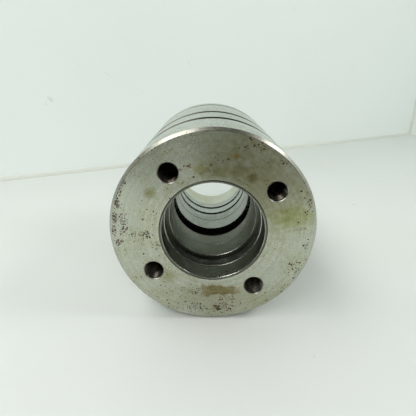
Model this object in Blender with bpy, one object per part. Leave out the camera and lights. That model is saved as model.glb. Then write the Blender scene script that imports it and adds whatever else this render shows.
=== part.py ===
"""Compact bellows expansion joint with outside rings and guide pins, lying on its side, axis along Y.

Stations are millimetres behind the front face, radii are millimetres from the axis. Every turned ring
has the same number of flats with one flat at the bottom, and each radius is the distance to a flat.
"""

import math

import bmesh
import bpy
from mathutils import Vector

MM = 0.001
GAP = 0.3                  # between two pieces that touch
CUT_PAST = 1.0             # how far a cutting shape starts outside the metal it cuts
FULL_TURN = 360.0
SHARP_ANGLE = 30.0         # degrees, corners sharper than this are shaded crisp
MERGE_DISTANCE = 0.00001   # metres, corners closer than this are one corner

# Overall
LENGTH = 141.0
BODY_R = 55.0              # outside of every outer ring
BORE_R = 25.0              # DN 50 flow bore
RIM_CHAMFER = 2.0
EDGE_CHAMFER = 0.5
FLATS = 36
BELLOWS_FLATS = 20
HOLE_FLATS = 12
SMALL_FLATS = 8
NUT_FLATS = 6

# Outer rings and the running gaps between them
FRONT_FLANGE_END = 35.0
RUN_GAP = 7.0
CONTROL_RING_START = FRONT_FLANGE_END + RUN_GAP
CONTROL_RING_END = 68.5
SHELL_START = CONTROL_RING_END + RUN_GAP
SHELL_END = 124.0
GASKET_THICK = 0.6
REGISTER_R = 53.4          # the gasket and the rear flange stop short here, which leaves a narrow groove
REAR_FLANGE_START = SHELL_END + GASKET_THICK + 2 * GAP
GROOVE_END = SHELL_END + 4.0

# Liners: thin sleeves in one seat, with a collar held under each bellows cuff
SEAT_R = 28.8              # bore of the outer rings, seat of the sleeves
SLEEVE_R = SEAT_R - GAP    # outside of the sleeves
COLLAR_R = 29.9
COLLAR_LENGTH = 3.0
MOUTH_R = 27.4
MOUTH_SLEEVE_END = 13.0
MOUTH_CHAMFER = 0.6
PIPE_SEAL_R = 27.7
LINER_START = 21.5
LINER_CHAMFER = 0.8
LINER_FRONT_END = 49.1
LINER_REAR_START = 61.7
BORE_RING_WIDTH = 2.8
BORE_RING_R = 25.7
BORE_RING_FRONT = 88.6
BORE_RING_REAR = 101.0
OUTLET_START = 111.3
OUTLET_LIP = 1.0           # lip at the bore's radius in front of the wider outlet
OUTLET_R = MOUTH_R
OUTLET_COLLAR_R = 31.4
OUTLET_COLLAR_LENGTH = 3.2

# Bellows, cuffs and cuff rings
CUFF_RECESS_R = 38.8
FRONT_RECESS = 27.5        # floor of the recess in the back of the front flange
REAR_RECESS = 82.0         # floor of the recess in the front of the rear shell
CUFF_RING_R = 38.5
CUFF_RING_BORE = 31.4
BELLOWS_ROOT_R = 30.2
BELLOWS_CREST_R = 37.6
BELLOWS_WALL = 0.6
BELLOWS_START = 36.5
BELLOWS_END = 74.0
CONVOLUTIONS = 6
ROOT_SHARE = 0.54          # flat of a root, as a share of the pitch
CREST_SHARE = 0.34         # flat of a crest

# Control ring and its web
RING_BORE = 40.0
WEB_SEAT_R = 42.0
WEB_INNER_R = 31.7
WEB_THICK = 1.5
WEB_CLAMP_LENGTH = 6.0

# Bolting
TAPPED_COUNT = 4
TAPPED_CIRCLE_R = 39.75
TAPPED_PHASE = 35.0        # degrees, seen from the front, from +X towards the top
TAPPED_R = 5.1             # M12
TAPPED_SINK_R = 5.9
TAPPED_DEPTH_FRONT = 22.0
TAPPED_DEPTH_REAR = 11.5
DRILL_POINT = 2.0
SCREW_PHASE = TAPPED_PHASE + 45.0

# Guide pins
PIN_COUNT = 3
PIN_CIRCLE_R = 47.5
PIN_PHASE = 30.0
PIN_R = 2.5
PIN_START = 26.0
PIN_END = 103.0
BUSH_BORE = 2.9
BUSH_R = 3.8
BUSH_SEAT_R = BUSH_R + GAP
RING_BUSH = (46.5, 64.0)
SHELL_BUSH_END = 89.5
POCKET_START = 90.0
POCKET_R = 5.2
NUT_R = 4.2
NUT = (96.6, 100.6)

# Screws: head radius, head length, shank radius, shank length
CUFF_SCREW = (2.7, 2.7, 1.5, 10.0)
CUFF_SCREW_CIRCLE_R = 34.8
FLANGE_SCREW = (6.3, 7.6, 4.0, 22.0)
SOCKET_SHARE = 0.45        # socket radius and depth as a share of the head's


def clear_scene():
    for obj in list(bpy.data.objects):
        bpy.data.objects.remove(obj, do_unlink=True)


def material(name, colour, roughness, metallic):
    """Principled material, one for each finish."""
    made = bpy.data.materials.new(name)
    made.use_nodes = True
    shader = made.node_tree.nodes["Principled BSDF"]
    shader.inputs["Base Color"].default_value = (*colour, 1.0)
    shader.inputs["Roughness"].default_value = roughness
    shader.inputs["Metallic"].default_value = metallic
    return made


def on_circle(radius, degrees):
    """Place of a point on a circle round the axis, as (x, z) in millimetres."""
    angle = math.radians(degrees)
    return radius * math.cos(angle), radius * math.sin(angle)


def ring_angles(count, phase):
    return [phase + index * FULL_TURN / count for index in range(count)]


def point(station, radius, degrees, flats, centre=(0.0, 0.0)):
    """Corner of a turned shape: the radius is measured to the middle of a flat."""
    x, z = on_circle(radius / math.cos(math.pi / flats), degrees)
    return Vector(((x + centre[0]) * MM, (station - LENGTH / 2) * MM, (z + centre[1]) * MM))


def spin_profile(mesh, profile, flats, centre, sweep, start):
    """Spins a closed (station, radius) outline round an axis parallel to Y into a solid."""
    corners = [mesh.verts.new(point(s, r, start, flats, centre)) for s, r in profile]
    face = mesh.faces.new(corners)
    whole = sweep == FULL_TURN
    geometry = list(face.verts) + list(face.edges)
    if not whole:
        geometry.append(face)
    axis_point = Vector((centre[0] * MM, 0.0, centre[1] * MM))
    bmesh.ops.spin(
        mesh,
        geom=geometry,
        cent=axis_point,
        axis=(0.0, -1.0, 0.0),
        angle=math.radians(sweep),
        steps=round(flats * sweep / FULL_TURN),
        use_merge=whole,
    )
    if whole:
        mesh.faces.remove(face)


def finish(name, mesh, look, axis=(0.0, 0.0)):
    """Closes the mesh, makes it an object with its origin on the given axis, and shades it."""
    bmesh.ops.remove_doubles(mesh, verts=mesh.verts, dist=MERGE_DISTANCE)
    bmesh.ops.dissolve_degenerate(mesh, edges=mesh.edges, dist=MERGE_DISTANCE)
    bmesh.ops.recalc_face_normals(mesh, faces=mesh.faces)
    origin = Vector((axis[0] * MM, 0.0, axis[1] * MM))
    bmesh.ops.translate(mesh, verts=mesh.verts, vec=-origin)
    data = bpy.data.meshes.new(name)
    mesh.to_mesh(data)
    mesh.free()
    data.shade_smooth()
    data.set_sharp_from_angle(angle=math.radians(SHARP_ANGLE))
    obj = bpy.data.objects.new(name, data)
    obj.location = origin
    bpy.context.scene.collection.objects.link(obj)
    if look:
        data.materials.append(look)
    return obj


def turned(name, profile, look, flats=FLATS, centre=(0.0, 0.0), sweep=FULL_TURN, start=None):
    """One turned piece. Flats face straight down, up and sideways unless a start angle is given."""
    mesh = bmesh.new()
    first = FULL_TURN / 2 / flats if start is None else start
    spin_profile(mesh, profile, flats, centre, sweep, first)
    return finish(name, mesh, look, centre)


def turned_row(name, profile, look, places, flats=SMALL_FLATS):
    """Like pieces, numbered from 1, each at its own (x, z) place."""
    for index, centre in enumerate(places, start=1):
        turned(f"{name}_{index}", profile, look, flats, centre)


def tube(start, end, inner, outer):
    """Outline of a plain ring."""
    return [(start, inner), (start, outer), (end, outer), (end, inner)]


def cut(target, profile, places, flats=SMALL_FLATS):
    """Cuts a turned hole in the target at each place."""
    mesh = bmesh.new()
    for centre in places:
        spin_profile(mesh, profile, flats, centre, FULL_TURN, FULL_TURN / 2 / flats)
    cutter = finish(target.name + "_cutter", mesh, None)
    cutter.hide_render = True
    cutter.display_type = "WIRE"
    boolean = target.modifiers.new(cutter.name, "BOOLEAN")
    boolean.object = cutter
    boolean.operation = "DIFFERENCE"


def rod(start, end, radius):
    """Outline of a straight pin or hole from one station to another."""
    return [(start, 0.0), (start, radius), (end, radius), (end, 0.0)]


def stepped_hole(start, step, end, first_r, second_r):
    """Outline of a hole that changes its radius at a step."""
    return [(start, 0.0), (start, first_r), (step, first_r), (step, second_r), (end, second_r), (end, 0.0)]


def tapped_hole(face, inward, depth):
    """Outline of a countersunk blind hole that goes inward (+1 or -1) from a face."""
    sink = TAPPED_SINK_R - TAPPED_R
    return [
        (face - inward * CUT_PAST, 0.0),
        (face - inward * CUT_PAST, TAPPED_SINK_R + CUT_PAST),
        (face + inward * sink, TAPPED_R),
        (face + inward * depth, TAPPED_R),
        (face + inward * (depth + DRILL_POINT), 0.0),
    ]


def screw_outline(head_face, inward, size):
    """Outline of a socket head screw whose head starts at head_face."""
    head_r, head_length, shank_r, shank_length = size
    socket_r = head_r * SOCKET_SHARE
    return [
        (head_face + inward * head_length * SOCKET_SHARE, 0.0),
        (head_face + inward * head_length * SOCKET_SHARE, socket_r),
        (head_face, socket_r),
        (head_face, head_r),
        (head_face + inward * head_length, head_r),
        (head_face + inward * head_length, shank_r),
        (head_face + inward * (head_length + shank_length), shank_r),
        (head_face + inward * (head_length + shank_length), 0.0),
    ]


def bellows_outline():
    """Outline of the bellows wall: two straight cuffs and a row of flat-topped convolutions."""
    pitch = (BELLOWS_END - BELLOWS_START) / CONVOLUTIONS
    foot = ROOT_SHARE * pitch / 2
    top = CREST_SHARE * pitch / 2
    front_cuff = FRONT_RECESS + GAP
    rear_cuff = REAR_RECESS - GAP
    middle = [(front_cuff, BELLOWS_ROOT_R)]
    for index in range(CONVOLUTIONS):
        crest = BELLOWS_START + (index + 0.5) * pitch
        middle += [
            (crest - pitch / 2 + foot, BELLOWS_ROOT_R),
            (crest - top, BELLOWS_CREST_R),
            (crest + top, BELLOWS_CREST_R),
            (crest + pitch / 2 - foot, BELLOWS_ROOT_R),
        ]
    middle.append((rear_cuff, BELLOWS_ROOT_R))
    outside = []
    for index, (station, radius) in enumerate(middle):
        wide = -1.0 if index % 4 in (1, 2) else 1.0
        at_end = index in (0, len(middle) - 1)
        side = 0.0 if at_end else wide * BELLOWS_WALL
        outside.append((station + side, radius + BELLOWS_WALL))
    return middle + outside[::-1]


def front_end(looks, pins, screws, tapped):
    flange = turned(
        "front_flange",
        [
            (0.0, SEAT_R),
            (0.0, BODY_R - RIM_CHAMFER),
            (RIM_CHAMFER, BODY_R),
            (FRONT_FLANGE_END - EDGE_CHAMFER, BODY_R),
            (FRONT_FLANGE_END, BODY_R - EDGE_CHAMFER),
            (FRONT_FLANGE_END, CUFF_RECESS_R),
            (FRONT_RECESS, CUFF_RECESS_R),
            (FRONT_RECESS, SEAT_R),
        ],
        looks["turned_steel"],
    )
    cut(flange, tapped_hole(0.0, 1.0, TAPPED_DEPTH_FRONT), tapped, HOLE_FLATS)
    cut(flange, rod(PIN_START - GAP, FRONT_FLANGE_END + CUT_PAST, PIN_R + GAP), pins)
    screw_face = FRONT_FLANGE_END - 2 * GAP
    screw_tip = screw_face - CUFF_SCREW[1] - CUFF_SCREW[3] - GAP
    cut(flange, rod(screw_tip, FRONT_RECESS + CUT_PAST, CUFF_SCREW[2] + GAP), screws)

    turned(
        "mouth_sleeve",
        [
            (0.0, MOUTH_R + MOUTH_CHAMFER),
            (0.0, SLEEVE_R),
            (MOUTH_SLEEVE_END, SLEEVE_R),
            (MOUTH_SLEEVE_END, MOUTH_R),
            (MOUTH_CHAMFER, MOUTH_R),
        ],
        looks["dark_steel"],
    )
    turned(
        "pipe_seal",
        tube(MOUTH_SLEEVE_END + GAP, LINER_START - GAP, PIPE_SEAL_R, SLEEVE_R),
        looks["black_seal"],
    )
    collar = FRONT_RECESS + GAP
    turned(
        "front_liner",
        [
            (LINER_START, BORE_R + LINER_CHAMFER),
            (LINER_START, SLEEVE_R),
            (collar, SLEEVE_R),
            (collar, COLLAR_R),
            (collar + COLLAR_LENGTH, COLLAR_R),
            (collar + COLLAR_LENGTH, SLEEVE_R),
            (LINER_FRONT_END, SLEEVE_R),
            (LINER_FRONT_END, BORE_R),
            (LINER_START + LINER_CHAMFER, BORE_R),
        ],
        looks["dark_steel"],
    )
    cuff_ring = turned(
        "front_cuff_ring",
        tube(FRONT_RECESS + GAP, FRONT_FLANGE_END - GAP, CUFF_RING_BORE, CUFF_RING_R),
        looks["turned_steel"],
    )
    seat = screw_face - CUFF_SCREW[1] - GAP
    shank_hole_r, head_hole_r = CUFF_SCREW[2] + GAP, CUFF_SCREW[0] + GAP
    screw_hole = stepped_hole(FRONT_RECESS - CUT_PAST, seat, FRONT_FLANGE_END + CUT_PAST, shank_hole_r, head_hole_r)
    cut(cuff_ring, screw_hole, screws)
    turned_row(
        "front_cuff_screw", screw_outline(screw_face, -1.0, CUFF_SCREW), looks["black_oxide"], screws
    )
    turned_row("guide_pin", rod(PIN_START, PIN_END, PIN_R), looks["ground_steel"], pins)
    turned_row("stop_nut", tube(*NUT, PIN_R + GAP, NUT_R), looks["black_oxide"], pins, NUT_FLATS)


def middle_ring(looks, pins):
    web_middle = (BELLOWS_START + BELLOWS_END) / 2
    shoulder = web_middle + WEB_THICK / 2 + GAP
    ring = turned(
        "control_ring",
        [
            (CONTROL_RING_START, WEB_SEAT_R),
            (CONTROL_RING_START, BODY_R - EDGE_CHAMFER),
            (CONTROL_RING_START + EDGE_CHAMFER, BODY_R),
            (CONTROL_RING_END - EDGE_CHAMFER, BODY_R),
            (CONTROL_RING_END, BODY_R - EDGE_CHAMFER),
            (CONTROL_RING_END, RING_BORE),
            (shoulder, RING_BORE),
            (shoulder, WEB_SEAT_R),
        ],
        looks["turned_steel"],
    )
    cut(ring, rod(CONTROL_RING_START - CUT_PAST, CONTROL_RING_END + CUT_PAST, BUSH_SEAT_R), pins)
    web_start = web_middle - WEB_THICK / 2
    web_outline = tube(web_start, web_start + WEB_THICK, WEB_INNER_R, WEB_SEAT_R - GAP)
    half_flats = FLATS // 2 - 1
    for name, first in (("web_upper", 0.0), ("web_lower", FULL_TURN / 2)):
        turned(
            name,
            web_outline,
            looks["turned_steel"],
            sweep=half_flats * FULL_TURN / FLATS,
            start=first + FULL_TURN / 2 / FLATS,
        )
    turned(
        "web_clamp_ring",
        tube(web_start - GAP - WEB_CLAMP_LENGTH, web_start - GAP, RING_BORE, WEB_SEAT_R - GAP),
        looks["ground_steel"],
    )
    turned_row("ring_bush", tube(*RING_BUSH, BUSH_BORE, BUSH_R), looks["bronze"], pins)


def bellows(looks):
    turned("bellows", bellows_outline(), looks["bellows_metal"], BELLOWS_FLATS)


def rear_body(looks, pins, screws):
    shell = turned(
        "rear_shell",
        [
            (SHELL_START, CUFF_RECESS_R),
            (SHELL_START, BODY_R - EDGE_CHAMFER),
            (SHELL_START + EDGE_CHAMFER, BODY_R),
            (SHELL_END, BODY_R),
            (SHELL_END, SEAT_R),
            (REAR_RECESS, SEAT_R),
            (REAR_RECESS, CUFF_RECESS_R),
        ],
        looks["turned_steel"],
    )
    pin_hole = stepped_hole(SHELL_START - CUT_PAST, POCKET_START, SHELL_END + CUT_PAST, BUSH_SEAT_R, POCKET_R)
    cut(shell, pin_hole, pins)
    screw_face = SHELL_START + 2 * GAP
    screw_tip = screw_face + CUFF_SCREW[1] + CUFF_SCREW[3] + GAP
    cut(shell, rod(REAR_RECESS - CUT_PAST, screw_tip, CUFF_SCREW[2] + GAP), screws)
    flange_screws = [on_circle(TAPPED_CIRCLE_R, a) for a in ring_angles(TAPPED_COUNT, SCREW_PHASE)]
    head_r, head_length, shank_r, shank_length = FLANGE_SCREW
    flange_screw_tip = LENGTH - GAP - head_length - shank_length - GAP
    cut(shell, rod(flange_screw_tip, SHELL_END + CUT_PAST, shank_r + GAP), flange_screws)

    cuff_ring = turned(
        "rear_cuff_ring",
        tube(SHELL_START + GAP, REAR_RECESS - GAP, CUFF_RING_BORE, CUFF_RING_R),
        looks["turned_steel"],
    )
    seat = screw_face + CUFF_SCREW[1] + GAP
    shank_hole_r, head_hole_r = CUFF_SCREW[2] + GAP, CUFF_SCREW[0] + GAP
    screw_hole = stepped_hole(SHELL_START - CUT_PAST, seat, REAR_RECESS + CUT_PAST, head_hole_r, shank_hole_r)
    cut(cuff_ring, screw_hole, screws)
    turned_row(
        "rear_cuff_screw", screw_outline(screw_face, 1.0, CUFF_SCREW), looks["black_oxide"], screws
    )
    bush = tube(SHELL_START + GAP, SHELL_BUSH_END, BUSH_BORE, BUSH_R)
    turned_row("shell_bush", bush, looks["bronze"], pins)
    gasket = turned(
        "flange_gasket",
        tube(SHELL_END + GAP, REAR_FLANGE_START - GAP, SEAT_R + GAP, REGISTER_R),
        looks["black_seal"],
    )
    cut(gasket, rod(SHELL_END - CUT_PAST, REAR_FLANGE_START + CUT_PAST, shank_r + GAP), flange_screws)


def rear_liners(looks):
    collar = REAR_RECESS - GAP - COLLAR_LENGTH
    turned(
        "rear_liner_front",
        [
            (LINER_REAR_START, BORE_R),
            (LINER_REAR_START, SLEEVE_R),
            (collar, SLEEVE_R),
            (collar, COLLAR_R),
            (collar + COLLAR_LENGTH, COLLAR_R),
            (collar + COLLAR_LENGTH, SLEEVE_R),
            (BORE_RING_FRONT - GAP, SLEEVE_R),
            (BORE_RING_FRONT - GAP, BORE_R),
        ],
        looks["bore_steel"],
    )
    front_ring_end = BORE_RING_FRONT + BORE_RING_WIDTH
    rear_ring_end = BORE_RING_REAR + BORE_RING_WIDTH
    sleeves = (
        ("rear_liner_middle", front_ring_end + GAP, BORE_RING_REAR - GAP),
        ("rear_liner_back", rear_ring_end + GAP, OUTLET_START - GAP),
    )
    for name, start, end in sleeves:
        turned(name, tube(start, end, BORE_R, SLEEVE_R), looks["bore_steel"])
    for name, start in (("bore_ring_front", BORE_RING_FRONT), ("bore_ring_rear", BORE_RING_REAR)):
        turned(name, tube(start, start + BORE_RING_WIDTH, BORE_RING_R, SLEEVE_R), looks["black_seal"])
    outlet_end = LENGTH - GAP
    turned(
        "outlet_sleeve",
        [
            (OUTLET_START, BORE_R),
            (OUTLET_START, SLEEVE_R),
            (outlet_end - OUTLET_COLLAR_LENGTH, SLEEVE_R),
            (outlet_end - OUTLET_COLLAR_LENGTH, OUTLET_COLLAR_R),
            (outlet_end, OUTLET_COLLAR_R),
            (outlet_end, OUTLET_R),
            (OUTLET_START + OUTLET_LIP, OUTLET_R),
            (OUTLET_START + OUTLET_LIP, BORE_R),
        ],
        looks["bore_steel"],
    )


def rear_flange(looks, tapped):
    recess = LENGTH - 2 * GAP - OUTLET_COLLAR_LENGTH
    flange = turned(
        "rear_flange",
        [
            (REAR_FLANGE_START, SEAT_R),
            (REAR_FLANGE_START, REGISTER_R),
            (GROOVE_END, REGISTER_R),
            (GROOVE_END, BODY_R),
            (LENGTH - RIM_CHAMFER, BODY_R),
            (LENGTH, BODY_R - RIM_CHAMFER),
            (LENGTH, OUTLET_COLLAR_R + GAP),
            (recess, OUTLET_COLLAR_R + GAP),
            (recess, SEAT_R),
        ],
        looks["turned_steel"],
    )
    cut(flange, tapped_hole(LENGTH, -1.0, TAPPED_DEPTH_REAR), tapped, HOLE_FLATS)
    places = [on_circle(TAPPED_CIRCLE_R, a) for a in ring_angles(TAPPED_COUNT, SCREW_PHASE)]
    head_r, head_length, shank_r, shank_length = FLANGE_SCREW
    seat = LENGTH - 2 * GAP - head_length
    screw_hole = stepped_hole(REAR_FLANGE_START - CUT_PAST, seat, LENGTH + CUT_PAST, shank_r + GAP, head_r + GAP)
    cut(flange, screw_hole, places)
    screw = screw_outline(LENGTH - GAP, -1.0, FLANGE_SCREW)
    turned_row("rear_flange_screw", screw, looks["black_oxide"], places)


clear_scene()
looks = {
    "turned_steel": material("turned_steel", (0.42, 0.44, 0.40), 0.32, 1.0),
    "dark_steel": material("dark_steel", (0.20, 0.21, 0.19), 0.35, 1.0),
    "bore_steel": material("bore_steel", (0.50, 0.52, 0.48), 0.30, 1.0),
    "ground_steel": material("ground_steel", (0.60, 0.61, 0.60), 0.18, 1.0),
    "black_seal": material("black_seal", (0.02, 0.02, 0.02), 0.60, 0.0),
    "black_oxide": material("black_oxide", (0.03, 0.03, 0.03), 0.45, 0.8),
    "bronze": material("bronze", (0.45, 0.27, 0.12), 0.35, 1.0),
    "bellows_metal": material("bellows_metal", (0.12, 0.11, 0.10), 0.45, 1.0),
}
pin_places = [on_circle(PIN_CIRCLE_R, a) for a in ring_angles(PIN_COUNT, PIN_PHASE)]
cuff_screw_places = [on_circle(CUFF_SCREW_CIRCLE_R, a) for a in ring_angles(TAPPED_COUNT, SCREW_PHASE)]
tapped_places = [on_circle(TAPPED_CIRCLE_R, a) for a in ring_angles(TAPPED_COUNT, TAPPED_PHASE)]
front_end(looks, pin_places, cuff_screw_places, tapped_places)
middle_ring(looks, pin_places)
bellows(looks)
rear_body(looks, pin_places, cuff_screw_places)
rear_liners(looks)
rear_flange(looks, tapped_places)
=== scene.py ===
import math

import bpy
from mathutils import Matrix, Vector


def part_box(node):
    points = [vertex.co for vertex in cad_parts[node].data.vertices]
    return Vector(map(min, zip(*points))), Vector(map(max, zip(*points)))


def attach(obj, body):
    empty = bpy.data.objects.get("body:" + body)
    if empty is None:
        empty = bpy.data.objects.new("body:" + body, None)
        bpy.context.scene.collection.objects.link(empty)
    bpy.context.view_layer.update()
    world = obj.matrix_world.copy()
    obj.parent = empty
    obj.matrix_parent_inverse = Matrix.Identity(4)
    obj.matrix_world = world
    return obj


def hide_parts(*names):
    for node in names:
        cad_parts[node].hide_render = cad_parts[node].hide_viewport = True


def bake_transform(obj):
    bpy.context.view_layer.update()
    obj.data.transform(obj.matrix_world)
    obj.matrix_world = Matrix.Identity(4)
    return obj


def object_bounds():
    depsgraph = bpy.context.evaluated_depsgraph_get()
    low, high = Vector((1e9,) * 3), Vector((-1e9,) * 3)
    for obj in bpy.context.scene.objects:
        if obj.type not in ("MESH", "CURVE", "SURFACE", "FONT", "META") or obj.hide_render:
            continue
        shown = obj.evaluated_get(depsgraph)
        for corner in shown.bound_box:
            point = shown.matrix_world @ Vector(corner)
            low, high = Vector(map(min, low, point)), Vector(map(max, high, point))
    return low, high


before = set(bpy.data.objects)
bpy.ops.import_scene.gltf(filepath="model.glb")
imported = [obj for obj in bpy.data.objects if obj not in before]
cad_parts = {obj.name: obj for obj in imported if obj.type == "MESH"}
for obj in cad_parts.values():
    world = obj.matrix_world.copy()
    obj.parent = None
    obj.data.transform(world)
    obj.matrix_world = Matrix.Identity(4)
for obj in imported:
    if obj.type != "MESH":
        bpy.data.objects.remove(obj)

cad_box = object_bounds()


# ---------------------------------------------------------------- table, light and camera
# A white table against two plain white walls, one of them at a slant behind the object. Two soft boxes
# hang above to the left and right, broad ones light the walls and table, and the room behind the camera
# is dark.

scene = bpy.context.scene
scene.view_settings.view_transform = "Standard"
low, high = cad_box
front_face = Vector((0.0, low[1], 0.0))
floor_z = low[2]


def let_go():
    """Leaves edit mode and deselects everything."""
    if bpy.context.object and bpy.context.object.mode != "OBJECT":
        bpy.ops.object.mode_set(mode="OBJECT")
    bpy.ops.object.select_all(action="DESELECT")


def white_paint(name, colour, stain):
    """Matt white board with faint, broad stains and a few small scuffs."""
    made = bpy.data.materials.new(name)
    made.use_nodes = True
    tree = made.node_tree
    shader = tree.nodes["Principled BSDF"]
    shader.inputs["Roughness"].default_value = 0.55
    place = tree.nodes.new("ShaderNodeTexCoord")
    cloud = tree.nodes.new("ShaderNodeTexNoise")
    cloud.inputs["Scale"].default_value = 7.0
    cloud.inputs["Detail"].default_value = 4.0
    ramp = tree.nodes.new("ShaderNodeMapRange")
    ramp.inputs["From Min"].default_value = 0.45
    ramp.inputs["From Max"].default_value = 0.75
    mix = tree.nodes.new("ShaderNodeMix")
    mix.data_type = "RGBA"
    mix.inputs[6].default_value = (*colour, 1.0)
    mix.inputs[7].default_value = (*stain, 1.0)
    tree.links.new(place.outputs["Object"], cloud.inputs["Vector"])
    tree.links.new(cloud.outputs["Fac"], ramp.inputs["Value"])
    tree.links.new(ramp.outputs["Result"], mix.inputs["Factor"])
    scuff = tree.nodes.new("ShaderNodeTexNoise")
    scuff.inputs["Scale"].default_value = 55.0
    scuff.inputs["Detail"].default_value = 6.0
    scuff.inputs["Roughness"].default_value = 0.7
    mark = tree.nodes.new("ShaderNodeMapRange")
    mark.inputs["From Min"].default_value = 0.675
    mark.inputs["From Max"].default_value = 0.75
    mark.inputs["To Max"].default_value = 0.6
    wear_and_highlight = tree.nodes.new("ShaderNodeMix")
    wear_and_highlight.data_type = "RGBA"
    wear_and_highlight.inputs[7].default_value = (0.46, 0.46, 0.36, 1.0)
    tree.links.new(place.outputs["Object"], scuff.inputs["Vector"])
    tree.links.new(scuff.outputs["Fac"], mark.inputs["Value"])
    tree.links.new(mark.outputs["Result"], wear_and_highlight.inputs["Factor"])
    tree.links.new(mix.outputs[2], wear_and_highlight.inputs[6])
    tree.links.new(wear_and_highlight.outputs[2], shader.inputs["Base Color"])
    return made


table_size = (2.4, 1.15)
table_middle = (0.1, 0.105)
let_go()
bpy.ops.mesh.primitive_plane_add(size=1.0, location=(*table_middle, floor_z))
table = bpy.context.object
table.name = "white_table"
table.scale = (*table_size, 1.0)
bpy.ops.object.transform_apply(location=True, rotation=True, scale=True)
table.data.materials.append(white_paint("white_table_board", (0.730, 0.762, 0.738), (0.705, 0.733, 0.700)))

corner_x, corner_y = 0.465, 0.590
wall_turn = math.radians(26.9)
wall_height = 1.5
wall_board = white_paint("white_wall_board", (0.87, 0.925, 0.90), (0.86, 0.91, 0.88))
for name, length, turn in (("back_wall", 1.5, math.pi + wall_turn), ("side_wall", 0.9, wall_turn - math.pi / 2)):
    let_go()
    bpy.ops.mesh.primitive_plane_add(size=1.0, location=(0.5, 0.0, 0.5))
    wall = bpy.context.object
    wall.name = name
    bpy.ops.object.mode_set(mode="EDIT")
    bpy.ops.mesh.select_all(action="SELECT")
    bpy.ops.transform.rotate(value=math.radians(90.0), orient_axis="X", center_override=(0.5, 0.0, 0.5))
    bpy.ops.object.mode_set(mode="OBJECT")
    bpy.ops.object.transform_apply(location=True, rotation=True, scale=True)
    wall.matrix_world = (
        Matrix.Translation((corner_x, corner_y, floor_z))
        @ Matrix.Rotation(turn, 4, "Z")
        @ Matrix.Diagonal((length, 1.0, wall_height, 1.0))
    )
    bpy.ops.object.transform_apply(location=True, rotation=True, scale=True)
    wall.data.materials.append(wall_board)


corner = Matrix.Translation((corner_x, corner_y, floor_z))
along_floor = (
    corner
    @ Matrix.Rotation(math.pi + wall_turn, 4, "Z")
    @ Matrix.Translation((0.75, 0.0, 0.0))
    @ Matrix.Rotation(math.pi / 2, 4, "Y")
)
up_corner = corner @ Matrix.Translation((0.0, 0.0, 0.75))
# Round beads along the floor-wall joint and up the corner, greyer than the boards: painted shade in the creases, with a
# faint stain.
crease_shade_and_stain = white_paint("crease_shade_and_stain_bead", (0.70, 0.715, 0.66), (0.76, 0.78, 0.72))
for name, place in (("wall_seam", along_floor), ("corner_seam", up_corner)):
    let_go()
    bpy.ops.mesh.primitive_cylinder_add(vertices=24, radius=0.0045, depth=1.5)
    seam = bpy.context.object
    seam.name = name
    seam.matrix_world = place
    bpy.ops.object.transform_apply(location=True, rotation=True, scale=True)
    seam.data.materials.append(crease_shade_and_stain)


def soft_box(name, azimuth, elevation, distance, size, power, colour, mirrored=True):
    """A lamp that looks at the object from a compass angle (0 in front, left positive) and a height."""
    lamp = bpy.data.objects.new(name, bpy.data.lights.new(name, "AREA"))
    flat = math.cos(math.radians(elevation)) * distance
    place = Vector((
        -flat * math.sin(math.radians(azimuth)),
        -flat * math.cos(math.radians(azimuth)),
        distance * math.sin(math.radians(elevation)),
    ))
    lamp.location = place
    lamp.rotation_euler = (-place).to_track_quat("-Z", "Y").to_euler()
    lamp.data.shape = "RECTANGLE"
    lamp.data.size = size[0]
    lamp.data.size_y = size[1]
    lamp.data.energy = power
    lamp.data.color = colour
    lamp.visible_glossy = mirrored
    scene.collection.objects.link(lamp)


lamp_white = (1.0, 1.0, 0.985)
strip = bpy.data.objects.new("lamp_left_strip", bpy.data.lights.new("lamp_left_strip", "AREA"))
strip.location = (-0.43, -0.28, 0.80)
strip.rotation_euler = (0.0, math.radians(-28.0), 0.0)
strip.data.shape = "RECTANGLE"
strip.data.size = 0.42
strip.data.size_y = 1.1
strip.data.energy = 5.6
strip.data.color = lamp_white
scene.collection.objects.link(strip)
soft_box("lamp_right", -83.0, 42.0, 1.0, (0.30, 0.20), 2.0, lamp_white)
soft_box("lamp_walls", 8.0, 38.0, 1.6, (1.3, 0.8), 8.6, lamp_white, mirrored=False)
soft_box("lamp_front", -6.0, 16.0, 1.1, (0.8, 0.35), 1.5, lamp_white, mirrored=False)

room = bpy.data.worlds.new("dim_room")
scene.world = room
room.use_nodes = True
room.node_tree.nodes["Background"].inputs["Color"].default_value = (0.30, 0.31, 0.27, 1.0)
room.node_tree.nodes["Background"].inputs["Strength"].default_value = 0.28

camera = bpy.data.objects.new("camera", bpy.data.cameras.new("camera"))
camera.data.sensor_width = 36.0
camera.data.lens = 30.8
camera.location = front_face + Vector((-0.0027, -0.1713, 0.0790))
camera.rotation_euler = (math.radians(90.0 - 20.8), 0.0, 0.0)
camera.data.clip_start = 0.01
scene.collection.objects.link(camera)
scene.camera = camera


# ---------------------------------------------------------------- front flange
# The thick end ring that a pipe is bolted to: bright steel, faced and turned in a lathe, with four
# blind tapped holes. Its face carries fine concentric marks, thin rust and old oil.

MM = 0.001
ROUND_STEPS = 192
HOLE_STEPS = 48


def link_all(tree, pairs):
    for source, target in pairs:
        tree.links.new(source, target)


def add_math(tree, operation, first, second=None, clamp=False):
    """A Math node whose inputs are numbers or sockets; returns its output."""
    node = tree.nodes.new("ShaderNodeMath")
    node.operation = operation
    node.use_clamp = clamp
    for index, value in enumerate((first, second)):
        if value is None:
            continue
        if isinstance(value, (int, float)):
            node.inputs[index].default_value = value
        else:
            tree.links.new(value, node.inputs[index])
    return node.outputs[0]


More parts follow.
